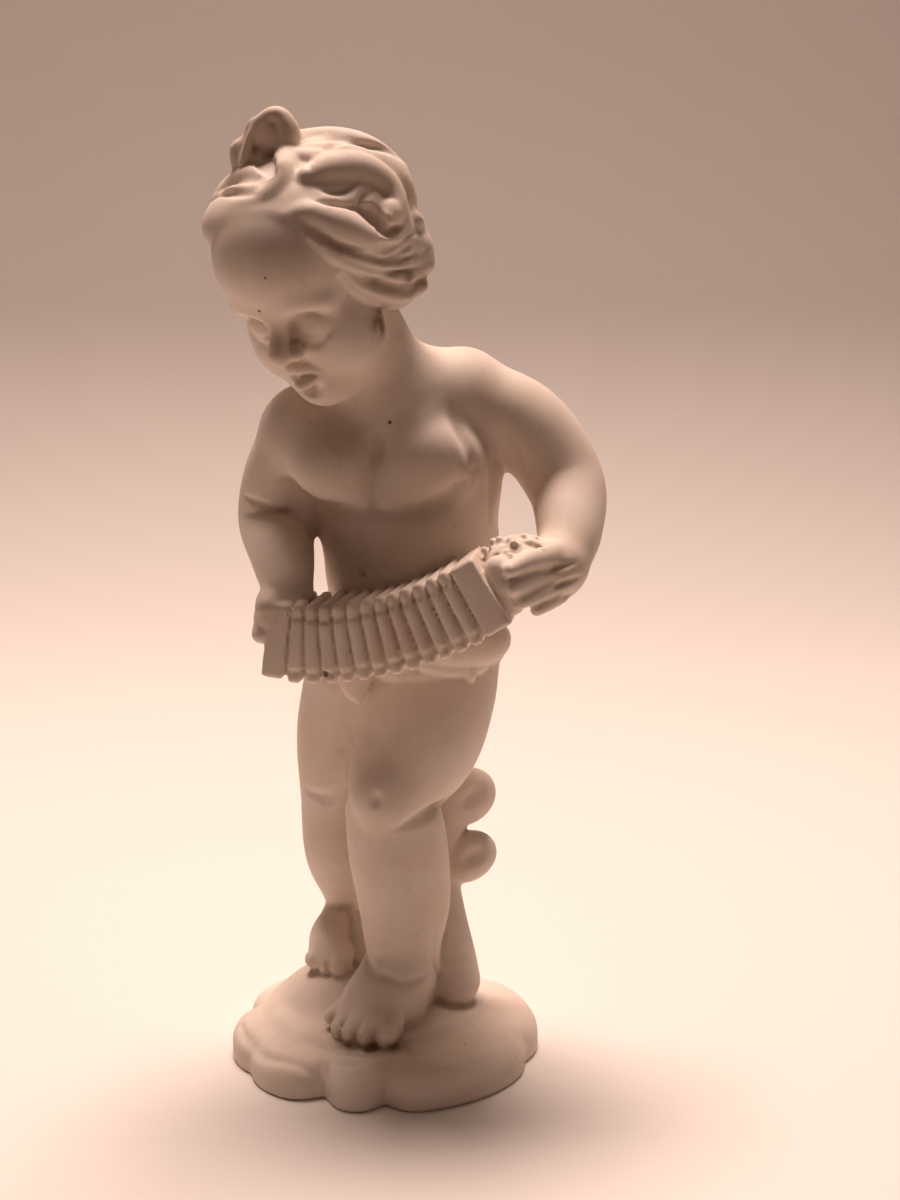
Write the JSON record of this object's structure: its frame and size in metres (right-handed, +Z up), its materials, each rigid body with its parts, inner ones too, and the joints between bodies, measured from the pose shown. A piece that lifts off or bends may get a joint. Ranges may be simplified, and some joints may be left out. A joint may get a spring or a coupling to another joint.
{
  "type": "cherub figurine",
  "caption": "Unglazed parian porcelain figurine of a standing cherub who plays a small concertina, on a lobed round base with a stump.",
  "frame": {"origin": "centre of the base's underside, on the surface it stands on", "axes": "+Z up, -Y to the figure's front, +X to the figure's left side"},
  "size_m": [0.0806, 0.0674, 0.1978],
  "materials": {
    "bisque": "matte"
  },
  "bodies": {
    "root": {"cherub_figurine": "bisque"}
  },
  "joints": []
}
